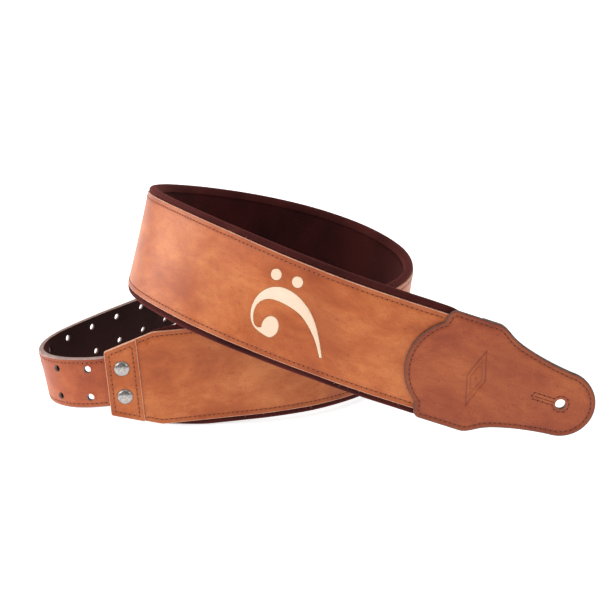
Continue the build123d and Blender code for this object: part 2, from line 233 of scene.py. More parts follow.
def drawn_in(loop, inset):
    """The loop moved inwards by inset, each point along the mean of its two sides' normals."""
    ahead = np.roll(loop, -1, axis=0) - loop
    ahead /= np.linalg.norm(ahead, axis=1)[:, None]
    normal = np.column_stack([-ahead[:, 1], ahead[:, 0]])
    mean = normal + np.roll(normal, 1, axis=0)
    mean /= np.maximum((mean * mean).sum(axis=1)[:, None] / 2, 0.5)
    return loop + mean * inset


SMALL_TURN = 5.0                 # corners of a smaller radius take fewer points
SMALL_TURN_POINTS, LARGE_TURN_POINTS = 7, 25
SHARPEST = 0.15


def rounded(corners, radii, spacing=2.5):
    """An outline's maker: ring(inset) is the polygon with round corners, drawn in by inset."""
    corners = np.array(corners, float)
    sides = np.linalg.norm(np.roll(corners, -1, axis=0) - corners, axis=1)

    def ring(inset):
        inner = drawn_in(corners, inset)
        turns = []
        for i, radius in enumerate(radii):
            here = inner[i]
            back, ahead = inner[i - 1] - here, inner[(i + 1) % len(inner)] - here
            back, ahead = back / np.linalg.norm(back), ahead / np.linalg.norm(ahead)
            half_angle = np.arccos(np.clip(back @ ahead, -1, 1)) / 2
            left = max(radius - inset, SHARPEST)
            reach = left / np.tan(half_angle)
            middle = (back + ahead) / np.linalg.norm(back + ahead)
            centre = here + middle * left / np.sin(half_angle)
            top = centre - middle * left
            count = SMALL_TURN_POINTS if radius < SMALL_TURN else LARGE_TURN_POINTS
            turns.append(arc_through(here + back * reach, top, here + ahead * reach, count))
        loop = []
        for i, turn in enumerate(turns):
            after = turns[(i + 1) % len(turns)][0]
            steps = max(2, int(sides[i] / spacing))
            run = turn[-1] + (after - turn[-1]) * np.linspace(0, 1, steps + 1)[1:-1, None]
            loop += [turn, run]
        return np.vstack(loop)

    return ring


def keyhole(centre, radius, slit_half, length):
    """A hole's maker: ring(grow) is a round hole with a slit running back from it, drawn out by grow."""
    def ring(grow):
        r, half = radius + grow, slit_half + grow
        angle = np.degrees(np.arcsin(half / r))
        back = centre[0] - length - grow
        circle = arc(centre, r, -180 + angle, 180 - angle, 41)
        neck = circle[-1][0]
        xs = np.linspace(neck, back, 9)[1:]
        slit = np.column_stack([xs, np.full(8, centre[1] + half)])
        other = slit[::-1] * [1, -1] + [0, 2 * centre[1]]
        return np.vstack([circle, slit, other])

    return ring


def circle_hole(centre, radius, count=32):
    """A hole's maker: a circle, drawn out by the number it is called with."""
    return lambda grow: arc(centre, radius + grow, 0, 360, count + 1)[:-1]


def hole_pair(at, count=32):
    """The two holes that a pair of posts goes through."""
    return [circle_hole((at, side * ROW_HALF), HOLE_R, count) for side in (1, -1)]


def tab_outline(inset=0.0):
    """Round tip, waisted neck, shoulders at the strap's edges and a lobe between two notches."""
    def flip(point):
        return point[0], -point[1]

    half = EDGE_HALF - inset
    tip_side = (TIP_CENTRE, TIP_R - inset)
    notch = (NOTCH[0] + 0.9 * inset, NOTCH[1] - 0.4 * inset)
    corner = (-90.6 + inset, 34.5 - 0.3 * inset)
    bulge = (-88.8 + 0.7 * inset, 37.7 - 0.7 * inset)
    flare = (-45.0 - 0.5 * inset, 33.6 - 0.9 * inset)
    neck = (tip_side, (NECK[0], NECK[1] - inset), flare, (TAB_SHOULDER[1], half))
    line = smooth_line(neck, 34, [(-1.0, 0.1), (-1.0, 0.0)])
    edge = np.column_stack([np.linspace(TAB_SHOULDER[1], TAB_SHOULDER[0], 14), np.full(14, half)])
    turn = arc_through((TAB_SHOULDER[0], half), bulge, corner, 8)
    side = np.linspace(corner, notch, 5)
    upper = np.vstack([line, edge[1:], turn[1:], side[1:]])
    tip = arc_through(flip(tip_side), (TIP_CENTRE + TIP_R - inset, 0), tip_side, 41)
    lobe = arc_through(notch, (LOBE_CENTRE - LOBE_R + inset, 0), flip(notch), 45)
    lower = upper[::-1] * [1, -1]
    return np.vstack([tip[:-1], upper, lobe[1:-1], lower[:-1]]) + [TAB_HOLE, 0]


def clef_outline():
    """The clef's body as one loop: its outer curve, the ball, and its inner curve."""
    outer = smooth_line(CLEF_OUTER, 90)
    ball = arc(CLEF_BALL, CLEF_BALL_RADII, -80, 198, 40)
    inner = smooth_line(CLEF_INNER, 80)
    return np.vstack([outer[:-1], ball, inner[1:]]) + [CLEF_AT, 0]


# ---- mesh building ----
def inside(points, loop):
    """Which points lie inside a loop."""
    x, y = points[:, 0:1], points[:, 1:2]
    ax, ay = loop[:, 0][None], loop[:, 1][None]
    bx, by = np.roll(loop[:, 0], -1)[None], np.roll(loop[:, 1], -1)[None]
    crosses = (ay > y) != (by > y)
    with np.errstate(divide="ignore", invalid="ignore"):
        where = ax + (y - ay) * (bx - ax) / (by - ay)
    return (crosses & (x < where)).sum(axis=1) % 2 == 1


def gap_to(points, loop):
    """Distance from each point to the nearest point of a loop."""
    nearest = np.full(len(points), 1e9)
    for start in range(0, len(loop), 200):
        part = loop[start : start + 200]
        apart = np.linalg.norm(points[:, None] - part[None], axis=2).min(axis=1)
        nearest = np.minimum(nearest, apart)
    return nearest


def fill(loops, cell, fine=()):
    """Points and triangles inside the first loop and outside the others."""
    low, high = loops[0].min(axis=0), loops[0].max(axis=0)
    grids = [(low, high, cell)] + list(fine)
    spots = []
    for number, (lo, hi, step) in enumerate(grids):
        xs = np.arange(lo[0] + step / 2, hi[0], step)
        ys = np.arange(lo[1] + step / 2, hi[1], step)
        grid = np.array([(x, y) for x in xs for y in ys])
        for a, b, _ in grids[number + 1 :]:
            clear = ((grid < np.array(a) - step / 3) | (grid > np.array(b) + step / 3)).any(axis=1)
            grid = grid[clear]
        keep = inside(grid, loops[0])
        for loop in loops[1:]:
            keep &= ~inside(grid, loop)
        for loop in loops:
            keep[keep] = gap_to(grid[keep], loop) > 0.45 * step
        spots.append(grid[keep])
    points = np.vstack(list(loops) + spots)
    edges = []
    first = 0
    for loop in loops:
        count = len(loop)
        edges += [(first + i, first + (i + 1) % count) for i in range(count)]
        first += count
    found = delaunay_2d_cdt([Vector(p) for p in points], edges, [], 0, 1e-7)
    source = [ids[0] for ids in found[3]]
    triangles = np.array([[source[i] for i in face] for face in found[2]])
    middles = points[triangles].mean(axis=1)
    keep = inside(middles, loops[0])
    for loop in loops[1:]:
        keep &= ~inside(middles, loop)
    return points, triangles[keep]


def add_object(name, data):
    obj = bpy.data.objects.new(name, data)
    bpy.context.scene.collection.objects.link(obj)
    return obj


def make_object(name, points, faces, kinds, uv, materials, edge=None):
    """One smooth mesh object: kinds is each face's material, uv each point's place in metres."""
    mesh = bpy.data.meshes.new(name)
    mesh.from_pydata([tuple(p) for p in points], [], [tuple(int(i) for i in f) for f in faces])
    layer = mesh.uv_layers.new(name="strap")
    corners = np.empty(len(mesh.loops), int)
    mesh.loops.foreach_get("vertex_index", corners)
    layer.data.foreach_set("uv", np.asarray(uv, np.float32)[corners].ravel())
    if edge is not None:
        attribute = mesh.attributes.new("edge", "FLOAT", "POINT")
        attribute.data.foreach_set("value", np.asarray(edge, np.float32))
    for material in materials:
        mesh.materials.append(material)
    mesh.polygons.foreach_set("material_index", np.asarray(kinds, np.int32))
    mesh.polygons.foreach_set("use_smooth", np.ones(len(mesh.polygons), bool))
    mesh.validate()
    mesh.update()
    return add_object(name, mesh)


def quads(first, size, rings, flip=False):
    """The faces between rings of points that follow each other in a mesh's list."""
    faces = []
    for k in range(rings - 1):
        a, b = first + k * size, first + (k + 1) * size
        for i in range(size):
            j = (i + 1) % size
            quad = (a + i, a + j, b + j, b + i)
            faces.append(quad[::-1] if flip else quad)
    return faces


def tube(first, size, rings, flip=False, turn=False):
    """The faces between rings, and one across each end. With turn each quad keeps its first corner."""
    faces = quads(first, size, rings, flip and not turn)
    if turn:
        faces = [(a, d, c, b) for a, b, c, d in faces]
    last = first + (rings - 1) * size
    ends = [tuple(range(first + size - 1, first - 1, -1)), tuple(range(last, last + size))]
    return faces + ([end[::-1] for end in ends] if flip else ends)


EDGE_REACH = 12.0                # how far from an outline its darker edge can reach


def leather(name, route, outline, steps, materials, holes=(), hole_steps=(), cell=4.0, fine=(), press=None):
    """A cut piece of leather. steps lists (inset, level, material) round its edge from the back to the
    face, and hole_steps the same round each hole; press gives how far the face is pressed in."""
    places, faces, kinds, edge = [], [], [], []
    count = 0
    borders = []
    for maker, course, is_hole in [(outline, steps, False)] + [(hole, hole_steps, True) for hole in holes]:
        loops = [maker(inset) for inset, _, _ in course]
        size = len(loops[0])
        for loop, (inset, level, _) in zip(loops, course):
            places.append(np.column_stack([loop, np.full(size, level)]))
            edge.append(np.full(size, EDGE_REACH if is_hole else inset))
        faces += quads(count, size, len(course), is_hole)
        for _, _, kind in course[1:]:
            kinds += [kind] * size
        borders.append((count, count + size * (len(course) - 1), loops))
        count += size * len(course)
    for side in (0, -1):
        loops = [loops[side] for _, _, loops in borders]
        firsts = [low if side == 0 else high for low, high, _ in borders]
        points, triangles = fill(loops, cell if side else cell * 2, fine if side else ())
        numbers = []
        for first, loop in zip(firsts, loops):
            numbers += list(range(first, first + len(loop)))
        extra = points[len(numbers):]
        numbers += list(range(count, count + len(extra)))
        count += len(extra)
        inset, height, kind = steps[side]
        level = np.full(len(extra), height)
        from_edge = np.minimum(EDGE_REACH, gap_to(extra, loops[0]) + inset)
        if side and press is not None:
            pressed = press(extra)
            level -= pressed
            from_edge = np.minimum(from_edge, EDGE_REACH * (1 - pressed / pressed.max()))
        places.append(np.column_stack([extra, level]))
        edge.append(from_edge)
        numbers = np.array(numbers)
        for triangle in numbers[triangles]:
            faces.append(triangle if side else triangle[::-1])
            kinds.append(kind)
    places = np.vstack(places)
    uv = np.column_stack([places[:, 0], places[:, 1] + places[:, 2]]) * MM
    if route.direction < 0:
        faces = [tuple(face)[::-1] for face in faces]
    return make_object(name, route.put(places), faces, kinds, uv, materials, np.concatenate(edge))


CURL_STEPS = 4                   # faces round each rounded corner of an edge


def round_edge(low, high, radius, top=0, rim=1, back=2):
    """Steps from the back to the face round an edge whose two corners have this radius."""
    steps = [(radius + 0.3, low, back)]
    for k in range(CURL_STEPS + 1):
        a = radians(90 * k / CURL_STEPS)
        steps.append((radius * (1 - sin(a)), low + radius * (1 - cos(a)), rim if k else back))
    for k in range(CURL_STEPS + 1):
        a = radians(90 * k / CURL_STEPS)
        steps.append((radius * (1 - cos(a)), high - radius * (1 - sin(a)), rim))
    steps.append((radius + 0.3, high, top))
    return steps


def with_seam(steps, high, dip=0.22):
    """The same steps with a shallow groove under the stitching."""
    groove = [(-1.0, 0.0), (-0.65, 0.25), (-0.3, 0.8), (0.0, 1.0), (0.3, 0.8), (0.65, 0.25), (1.0, 0.0)]
    return steps + [(SEAM_INSET + aside, high - dip * share, 0) for aside, share in groove]


def sweep(name, route, distances, section, materials, kind):
    """A closed skin through a section of (across, out) points at each distance."""
    rings = [np.array(section(s)) for s in distances]
    size = len(rings[0])
    places = np.vstack([np.column_stack([np.full(size, s), ring]) for s, ring in zip(distances, rings)])
    faces = tube(0, size, len(rings), True, True)
    kinds = [kind(ring[i], ring[(i + 1) % size]) for ring in rings[:-1] for i in range(size)] + [0, 0]
    if route.direction < 0:
        faces = [face[::-1] for face in faces]
    sides = [np.linalg.norm(np.diff(ring, axis=0, prepend=ring[:1]), axis=1) for ring in rings]
    girth = np.concatenate([np.cumsum(side) for side in sides])
    uv = np.column_stack([places[:, 0], girth]) * MM
    return make_object(name, route.put(places), faces, kinds, uv, materials)


def smoothstep(value, low, high):
    """From 0 at low to 1 at high, level at both."""
    t = np.clip((np.asarray(value, float) - low) / (high - low), 0, 1)
    return t * t * (3 - 2 * t)


LATHE_SIDES = 64


def lathe(name, route, centre, profile, materials):
    """A turned piece: profile lists (radius, out, material) from the axis round to the axis."""
    count = LATHE_SIDES
    places, kinds = [], []
    angles = np.linspace(0, 2 * pi, count, endpoint=False)
    for radius, out, _ in profile:
        ring = np.column_stack([centre[0] + radius * np.cos(angles), centre[1] + radius * np.sin(angles)])
        places.append(np.column_stack([ring, np.full(count, out)]))
    for _, _, kind in profile[1:]:
        kinds += [kind] * count
    kinds += [profile[0][2], profile[-1][2]]
    faces = tube(0, count, len(profile))
    places = np.vstack(places)
    return make_object(name, route.put(places), faces, kinds, places[:, :2] * MM, materials)


# ---- materials ----
class Nodes:
    """A short way to write a material's nodes."""

    def __init__(self, name):
        self.material = bpy.data.materials.new(name)
        self.material.use_nodes = True
        self.tree = self.material.node_tree
        self.shader = self.tree.nodes["Principled BSDF"]
        self.uv = self.add("ShaderNodeUVMap", uv_map="strap").outputs[0]

    def add(self, kind, inputs=(), **settings):
        node = self.tree.nodes.new(kind)
        for key, value in settings.items():
            setattr(node, key, value)
        for key, value in dict(inputs).items():
            self.set(node.inputs[key], value)
        return node

    def set(self, socket, value):
        if isinstance(value, bpy.types.NodeSocket):
            self.tree.links.new(value, socket)
        else:
            socket.default_value = value

    def noise(self, scale, detail=4.0, rough=0.55, distortion=0.0, stretch=(1, 1, 1)):
        """Noise with this many grains to the metre, on the strap's own surface."""
        place = self.add("ShaderNodeMapping", {"Vector": self.uv, "Scale": stretch})
        inputs = {"Vector": place.outputs[0], "Scale": scale, "Detail": detail, "Roughness": rough}
        return self.add("ShaderNodeTexNoise", {**inputs, "Distortion": distortion}).outputs[0]

    def cells(self, scale, feature="F1", stretch=(1, 1, 1)):
        place = self.add("ShaderNodeMapping", {"Vector": self.uv, "Scale": stretch})
        node = self.add("ShaderNodeTexVoronoi", {"Vector": place.outputs[0], "Scale": scale}, feature=feature)
        return node.outputs["Distance"]

    def ramp(self, value, *stops):
        """A colour or grey by value: stops are (place, colour)."""
        node = self.add("ShaderNodeValToRGB", {"Fac": value})
        elements = node.color_ramp.elements
        while len(elements) < len(stops):
            elements.new(0.5)
        for element, (place, colour) in zip(elements, stops):
            element.position = place
            element.color = colour if isinstance(colour, tuple) else (colour, colour, colour, 1)
        return node.outputs[0]

    def mix(self, share, first, second):
        node = self.add("ShaderNodeMix", data_type="RGBA")
        for socket, value in zip((node.inputs[0], node.inputs[6], node.inputs[7]), (share, first, second)):
            self.set(socket, value)
        return node.outputs[2]

    def math(self, operation, first, second):
        node = self.add("ShaderNodeMath", operation=operation)
        self.set(node.inputs[0], first)
        self.set(node.inputs[1], second)
        return node.outputs[0]

    def bump(self, height, distance, strength, under=None):
        node = self.add("ShaderNodeBump", {"Height": height, "Distance": distance, "Strength": strength})
        if under is not None:
            self.set(node.inputs["Normal"], under)
        return node.outputs[0]

    def finish(self, **inputs):
        for key, value in inputs.items():
            self.set(self.shader.inputs[key.replace("_", " ")], value)
        return self.material


def srgb(red, green, blue):
    """A colour given in the usual 0 to 255 steps."""
    def straight(value):
        value /= 255
        return value / 12.92 if value <= 0.04045 else ((value + 0.055) / 1.055) ** 2.4

    return straight(red), straight(green), straight(blue), 1.0


def grain_leather(name, light, middle, deep, burnt, edge_dark=0.35, gloss=0.42):
    """Waxed full-grain leather: a mottled patina, fine pores and creases, darker towards its edges."""
    n = Nodes(name)
    patina = n.noise(16, 5, 0.6, 0.7, (1, 1.5, 1))
    clouds = n.noise(55, 6, 0.65, 0.4, (0.7, 1.3, 1))
    tone = n.math("ADD", n.math("MULTIPLY", patina, 0.62), n.math("MULTIPLY", clouds, 0.38))
    colour = n.ramp(tone, (0.34, deep), (0.47, middle), (0.62, light))
    pulled = n.noise(240, 4, 0.7, 0.6, (0.35, 1.6, 1))
    colour = n.mix(n.ramp(pulled, (0.52, 0.0), (0.72, 0.30)), colour, deep)
    blush = n.noise(9, 3, 0.5, 1.2, (1.0, 0.8, 1))
    colour = n.mix(n.ramp(blush, (0.55, 0.0), (0.75, 0.45)), colour, burnt)
    fine = n.noise(900, 3, 0.6)
    colour = n.mix(n.ramp(fine, (0.35, 0.22), (0.60, 0.0)), colour, burnt)
    freckles = n.noise(330, 2, 0.5, 0.0, (0.8, 1.0, 1))
    colour = n.mix(n.ramp(freckles, (0.62, 0.0), (0.74, 0.35)), colour, burnt)
    edge = n.add("ShaderNodeAttribute", attribute_name="edge").outputs["Fac"]
    ragged = n.math("ADD", edge, n.math("MULTIPLY", n.noise(120, 4), 3.0))
    colour = n.mix(n.ramp(n.math("MULTIPLY", ragged, 0.1), (0.12, edge_dark), (0.75, 0.0)), colour, burnt)
    pores = n.ramp(n.cells(1500), (0.05, 0.0), (0.32, 1.0))
    creases = n.ramp(n.cells(420, "DISTANCE_TO_EDGE", (1.0, 1.5, 1)), (0.0, 0.0), (0.09, 1.0))
    swell = n.noise(90, 5, 0.6)
    rough = n.ramp(n.math("ADD", n.math("MULTIPLY", clouds, 0.6), n.math("MULTIPLY", fine, 0.4)),
                   (0.3, gloss - 0.07), (0.7, gloss + 0.10))
    normal = n.bump(swell, 0.00035, 0.5)
    normal = n.bump(creases, 0.00003, 0.35, normal)
    normal = n.bump(pores, 0.00005, 0.45, normal)
    return n.finish(Base_Color=colour, Roughness=rough, Normal=normal, Coat_Weight=0.10,
                    Coat_Roughness=0.28, Specular_IOR_Level=0.32)


def cut_edge(name, pale, dark, rough=0.6, across=(0.2, 2.5, 1)):
    """The cut edge of leather: fibres along it, burnished darker in places."""
    n = Nodes(name)
    fibres = n.noise(700, 5, 0.7, 0.3, across)
    colour = n.ramp(fibres, (0.35, dark), (0.62, pale))
    normal = n.bump(fibres, 0.0001, 0.6)
    return n.finish(Base_Color=colour, Roughness=rough, Normal=normal)


def suede(name, light, deep, nap, sheen):
    """Split leather with a short nap that lies in soft, brushed patches."""
    n = Nodes(name)
    brushed = n.noise(22, 3, 0.5, 0.5, (1.0, 0.8, 1))
    fuzz = n.noise(1600, 4, 0.8, 0.2)
    flecks = n.noise(420, 4, 0.7, 0.1)
    tone = n.math("ADD", n.math("MULTIPLY", brushed, 0.42), n.math("MULTIPLY", fuzz, 0.36))
    tone = n.math("ADD", tone, n.math("MULTIPLY", flecks, 0.22))
    colour = n.ramp(tone, (0.36, deep), (0.62, light))
    normal = n.bump(flecks, 0.0002, 0.3)
    normal = n.bump(fuzz, 0.00022, nap, normal)
    material = n.finish(Base_Color=colour, Roughness=0.95, Normal=normal, Sheen_Weight=sheen,
                        Sheen_Roughness=0.45, Specular_IOR_Level=0.12)
    n.shader.inputs["Sheen Tint"].default_value = srgb(176, 92, 82)
    return material


def nickel(name):
    """Satin nickel: fine turned scratches and small dull spots."""
    n = Nodes(name)
    spots = n.noise(700, 4, 0.6)
    worn = n.noise(2600, 3, 0.7, 0.0, (1.0, 0.25, 1))
    colour = n.ramp(spots, (0.35, srgb(140, 135, 132)), (0.65, srgb(186, 181, 177)))
    rough = n.ramp(worn, (0.3, 0.15), (0.7, 0.27))
    normal = n.bump(worn, 0.00002, 0.5)
    return n.finish(Base_Color=colour, Metallic=1.0, Roughness=rough, Normal=normal)


def twisted_thread(name, light, dark):
    """Waxed thread with its twist across the stitch."""
    n = Nodes(name)
    wave = n.add("ShaderNodeTexWave", {"Vector": n.uv, "Scale": 900.0, "Distortion": 1.0}).outputs["Fac"]
    colour = n.ramp(wave, (0.1, dark), (0.8, light))
    return n.finish(Base_Color=colour, Roughness=0.55, Normal=n.bump(wave, 0.00012, 0.6))


COGNAC = grain_leather("cognac_leather", srgb(208, 122, 66), srgb(184, 94, 42), srgb(154, 70, 28),
                       srgb(128, 46, 20))
TAB = grain_leather("tab_leather", srgb(178, 92, 46), srgb(156, 70, 32), srgb(132, 50, 22),
                    srgb(92, 32, 15), 0.5, 0.38)
TAIL_SKIN = grain_leather("tail_leather", srgb(196, 108, 62), srgb(174, 84, 44), srgb(146, 62, 30),
                          srgb(112, 40, 20), 0.3, 0.42)
PALE_EDGE = cut_edge("pale_cut_edge", srgb(226, 176, 148), srgb(186, 118, 84))
DARK_EDGE = cut_edge("burnished_dark_edge", srgb(112, 70, 56), srgb(64, 36, 28), 0.42)
GREY_EDGE = cut_edge("burnished_grey_edge", srgb(178, 150, 142), srgb(128, 98, 90), 0.45)
FLESH = cut_edge("flesh_side", srgb(176, 124, 88), srgb(140, 90, 60), 0.9, (1, 1, 1))
SUEDE = suede("brown_suede", srgb(62, 19, 18), srgb(24, 4, 4), 0.5, 0.22)
# Painted highlight: a lighter copy of the suede for the rolled edges, where the light catches them.
SUEDE_ROLL_HIGHLIGHT = suede("suede_edge_painted_highlight", srgb(78, 32, 29), srgb(36, 9, 9), 0.6, 0.45)
LINING = suede("black_lining", srgb(46, 27, 25), srgb(24, 10, 10), 0.3, 0.2)
CREAM = grain_leather("cream_leather", srgb(244, 222, 200), srgb(240, 214, 190), srgb(232, 200, 172),
                      srgb(232, 200, 170), 0.35, 0.5)
CREAM_EDGE = cut_edge("cream_cut_edge", srgb(226, 190, 140), srgb(190, 140, 90))
NICKEL = nickel("nickel")
# Painted shade: the dark ring round each post head, laid on the head's underside step and rim.
HEAD_RIM_SHADE = cut_edge("painted_shade_under_head", srgb(92, 80, 74), srgb(48, 38, 34), 0.5)
THREAD = twisted_thread("thread", srgb(190, 104, 58), srgb(132, 62, 32))
TAB_THREAD = twisted_thread("tab_thread", srgb(164, 80, 44), srgb(104, 44, 24))
# Painted shade: the dark inside of each needle hole.
HOLE_SHADE = cut_edge("needle_hole_painted_shade", srgb(74, 26, 14), srgb(38, 12, 8), 0.9)


# ---- the padded shoulder ----
def face_half(s):
    """Half width of the face leather, which tapers to the yoke."""
    return YOKE_HALF + (FACE_HALF - YOKE_HALF) * np.clip((s - YOKE_START) / (TAPER_END - YOKE_START), 0, 1)


def face_outline():
    """The face leather's outline: tapered to the yoke, straight to the tab."""
    corners = [
        (YOKE_START, -YOKE_HALF), (TAPER_END, -FACE_HALF), (FACE_END, -FACE_HALF),
        (FACE_END, FACE_HALF), (TAPER_END, FACE_HALF), (YOKE_START, YOKE_HALF),
    ]
    return rounded(corners, [1.6, 12, 0.8, 0.8, 12, 1.6])


def patch_outline():
    """The yoke patch's outline, which follows the face leather's taper."""
    half = float(face_half(PATCH_END))
    corners = [(YOKE_START, -YOKE_HALF), (PATCH_END, -half), (PATCH_END, half), (YOKE_START, YOKE_HALF)]
    return rounded(corners, [1.8, 0.8, 0.8, 1.8], 1.5)


def make_face():
    """The cognac face leather with its windows, and the cream inlays that fill them."""
    clef = without_repeats(clef_outline())
    windows = {"clef_inlay": lambda grow: drawn_in(clef, -grow)}
    for name, (x, y) in CLEF_DOTS.items():
        windows[name] = circle_hole((CLEF_AT + x, y), CLEF_DOT_R, 48)
    steps = with_seam(round_edge(-FACE_THICK, 0.0, 0.45), 0.0)
    hole_steps = [(0.0, -FACE_THICK, 1), (0.0, -0.3, 1), (0.1, -0.08, 1), (0.3, 0.0, 0), (0.55, 0.0, 0)]
    face = leather("face_leather", SHOULDER, face_outline(), steps, [COGNAC, PALE_EDGE, FLESH],
                   list(windows.values()) + hole_pair(0), hole_steps)
    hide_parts("shoulder_leather")
    pieces = {face: "cognac_leather"}
    for name, window in windows.items():
        steps = [(0.16, -FACE_THICK, 2), (0.16, -0.22, 1), (0.22, -0.06, 1), (0.38, 0.03, 1), (0.8, 0.07, 0)]
        inlay = leather(name + "_leather", SHOULDER, lambda inset, w=window: w(-inset), steps,
                        [CREAM, CREAM_EDGE, CREAM_EDGE], cell=1.6)
        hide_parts(name)
        pieces[inlay] = "cream_leather"
    return pieces


ROLL_WIDTH = 6.0                 # from a rolled edge inwards to where its turn begins
ROLL_STEPS = 16
END_TUCK = 3.5                   # how much narrower the suede is where it goes under the tab
END_TUCK_START = 962.0


def suede_section(s):
    """The suede over its padding: two rolled edges beside the leather and a crowned back."""
    grow = float(smoothstep(s, PAD_START - 14, 60))
    pad = float(smoothstep(s, PAD_START - 4, PAD_FULL) * (1 - smoothstep(s, PAD_THIN, PAD_END + 4)))
    leather_half = float(face_half(s))
    tuck = END_TUCK * float(smoothstep(s, END_TUCK_START, FACE_END))
    half = leather_half - 0.6 + (EDGE_HALF - FACE_HALF + 0.7) * grow - tuck
    deep = SKIVED_DEPTH + (PADDED_DEPTH - SKIVED_DEPTH) * pad
    top = -FACE_THICK - GAP
    roll = 0.2 + 1.25 * grow * (0.4 + 0.6 * pad)
    reach = half - (leather_half - 1.2)
    back = [
        (0.0, -deep - 0.55 * pad), (0.45, -deep - 0.50 * pad), (0.78, -deep - 0.28 * pad), (0.90, -deep),
        (0.945, -deep + 0.35 * pad), (0.97, -deep + 0.95 * pad), (0.99, -deep + 0.75 * pad),
    ]
    inner = half - 6.2
    right = [(inner * share, level) for share, level in back]
    middle = (top + roll - deep) / 2
    rise = (top + roll + deep) / 2
    for k in range(ROLL_STEPS + 1):
        a = radians(-98 + 178 * k / ROLL_STEPS)
        width = ROLL_WIDTH if a < 0 else min(reach, ROLL_WIDTH) * 0.62
        base = half - width
        right.append((base + width * cos(a) ** 0.8 if abs(a) < pi / 2 else base, middle + rise * sin(a)))
    right.append((leather_half - 0.9, top + 0.02))
    right.append((leather_half - 6.0, top))
    right.append((0.0, top))
    left = [(-w, n) for w, n in right[-2:0:-1]]
    return right + left


def make_suede():
    """The suede, rolled over the foam; one piece that stands for both."""
    distances = np.concatenate([
        np.linspace(YOKE_START + 0.4, 80, 46),
        np.linspace(80, 930, 430)[1:],
        np.linspace(930, FACE_END - 0.4, 34)[1:],
    ])

    # faces on the rolled edges take the lighter suede, a painted highlight
    def kind(first, second):
        edge = min(abs(first[0]), abs(second[0]))
        return 1 if edge > 33.0 and min(first[1], second[1]) > -PADDED_DEPTH - 0.3 else 0

    piece = sweep("suede_back", SHOULDER, distances, suede_section, [SUEDE, SUEDE_ROLL_HIGHLIGHT], kind)
    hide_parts("suede_lining", "shoulder_padding")
    return {piece: "brown_suede"}


def make_patch():
    """The reinforcing leather that the posts go through."""
    hole_steps = [
        (0.0, GAP, 1), (0.0, PATCH_TOP - 0.2, 1), (1.2, PATCH_TOP - 0.05, 0), (2.7, PATCH_TOP - 0.16, 0),
        (3.4, PATCH_TOP - 0.02, 0), (3.8, PATCH_TOP, 0),
    ]
    steps = with_seam(round_edge(GAP, PATCH_TOP, 0.4), PATCH_TOP)
    patch = leather("yoke_patch_leather", SHOULDER, patch_outline(), steps,
                    [COGNAC, PALE_EDGE, FLESH], hole_pair(0, 48), hole_steps, cell=2.5)
    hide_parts("yoke_patch")
    return {patch: "cognac_leather"}


# ---- the tail ----
def tail_outline():
    """Square at the inner end, round at the tip."""
    corners = [
        (TAIL_INNER_END, -TAIL_HALF), (TAIL_TIP, -TAIL_HALF),
        (TAIL_TIP, TAIL_HALF), (TAIL_INNER_END, TAIL_HALF),
    ]
    return rounded(corners, [1.0, TAIL_HALF - 0.05, TAIL_HALF - 0.05, 1.0])


def tail_holes():
    """Two rows of adjusting holes, and the button hole with its slit."""
    holes = []
    for pair in range(HOLE_PAIRS):
        holes += hole_pair(pair * HOLE_PITCH)
    return holes + [keyhole((TAIL_BUTTON, 0), BUTTON_R, SLIT_HALF, SLIT_LENGTH)]


def make_tail():
    """The tail's leather with a bevelled, burnished edge, and its near-black lining."""
    steps = [
        (0.5, -TAIL_LEATHER, 2), (0.1, -TAIL_LEATHER, 1), (0.0, -TAIL_LEATHER + 0.15, 1), (0.0, -1.1, 1),
        (0.12, -0.75, 1), (0.45, -0.35, 1), (0.95, -0.08, 1), (1.25, 0.0, 0), (1.6, 0.02, 0),
    ]
    steps = with_seam(steps, 0.0, dip=0.18)
    hole_steps = [
        (0.0, -TAIL_LEATHER, 1), (0.0, -0.35, 1), (0.10, -0.06, 1),
        (0.25, 0.08, 0), (0.45, 0.10, 0), (0.75, 0.0, 0),
    ]
    skin = leather("tail_face", TAIL, tail_outline(), steps, [TAIL_SKIN, GREY_EDGE, FLESH],
                   tail_holes(), hole_steps)
    low, high = -TAIL_LEATHER - GAP - TAIL_LINING, -TAIL_LEATHER - GAP
    steps = round_edge(low, high, 0.45, 0, 1, 0)
    hole_steps = [(0.5, low, 0), (0.15, low + 0.06, 0), (0.0, low + 0.3, 0), (0.0, high, 0)]
    back = leather("tail_back", TAIL, tail_outline(), steps, [LINING, GREY_EDGE], tail_holes(), hole_steps)
    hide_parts("tail_leather")
    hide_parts("tail_lining")
    return {skin: "tail_leather", back: "black_lining"}


# ---- the end tab ----
ORNAMENT_CENTRE = (TAB_HOLE - 59.0, 0.0)
ORNAMENT_HALF = (7.0, 22.0)


def ornament_press(points):
    """How far the blind-tooled lozenges are pressed into the tab."""
    x = (points[:, 0] - ORNAMENT_CENTRE[0]) / ORNAMENT_HALF[0]
    y = (points[:, 1] - ORNAMENT_CENTRE[1]) / ORNAMENT_HALF[1]
    size = np.abs(x) + np.abs(y)
    depth = np.zeros(len(points))
    for level, strong in ((0.90, 0.55), (0.55, 0.45)):
        depth = np.maximum(depth, strong * np.exp(-(((size - level) / 0.11) ** 2)))
    for place in (-0.36, 0.0, 0.36):
        spot_y = ORNAMENT_CENTRE[1] + place * ORNAMENT_HALF[1]
        spot = np.hypot(points[:, 0] - ORNAMENT_CENTRE[0], points[:, 1] - spot_y)
        depth = np.maximum(depth, 0.5 * np.exp(-((spot / 1.1) ** 2)))
    return depth


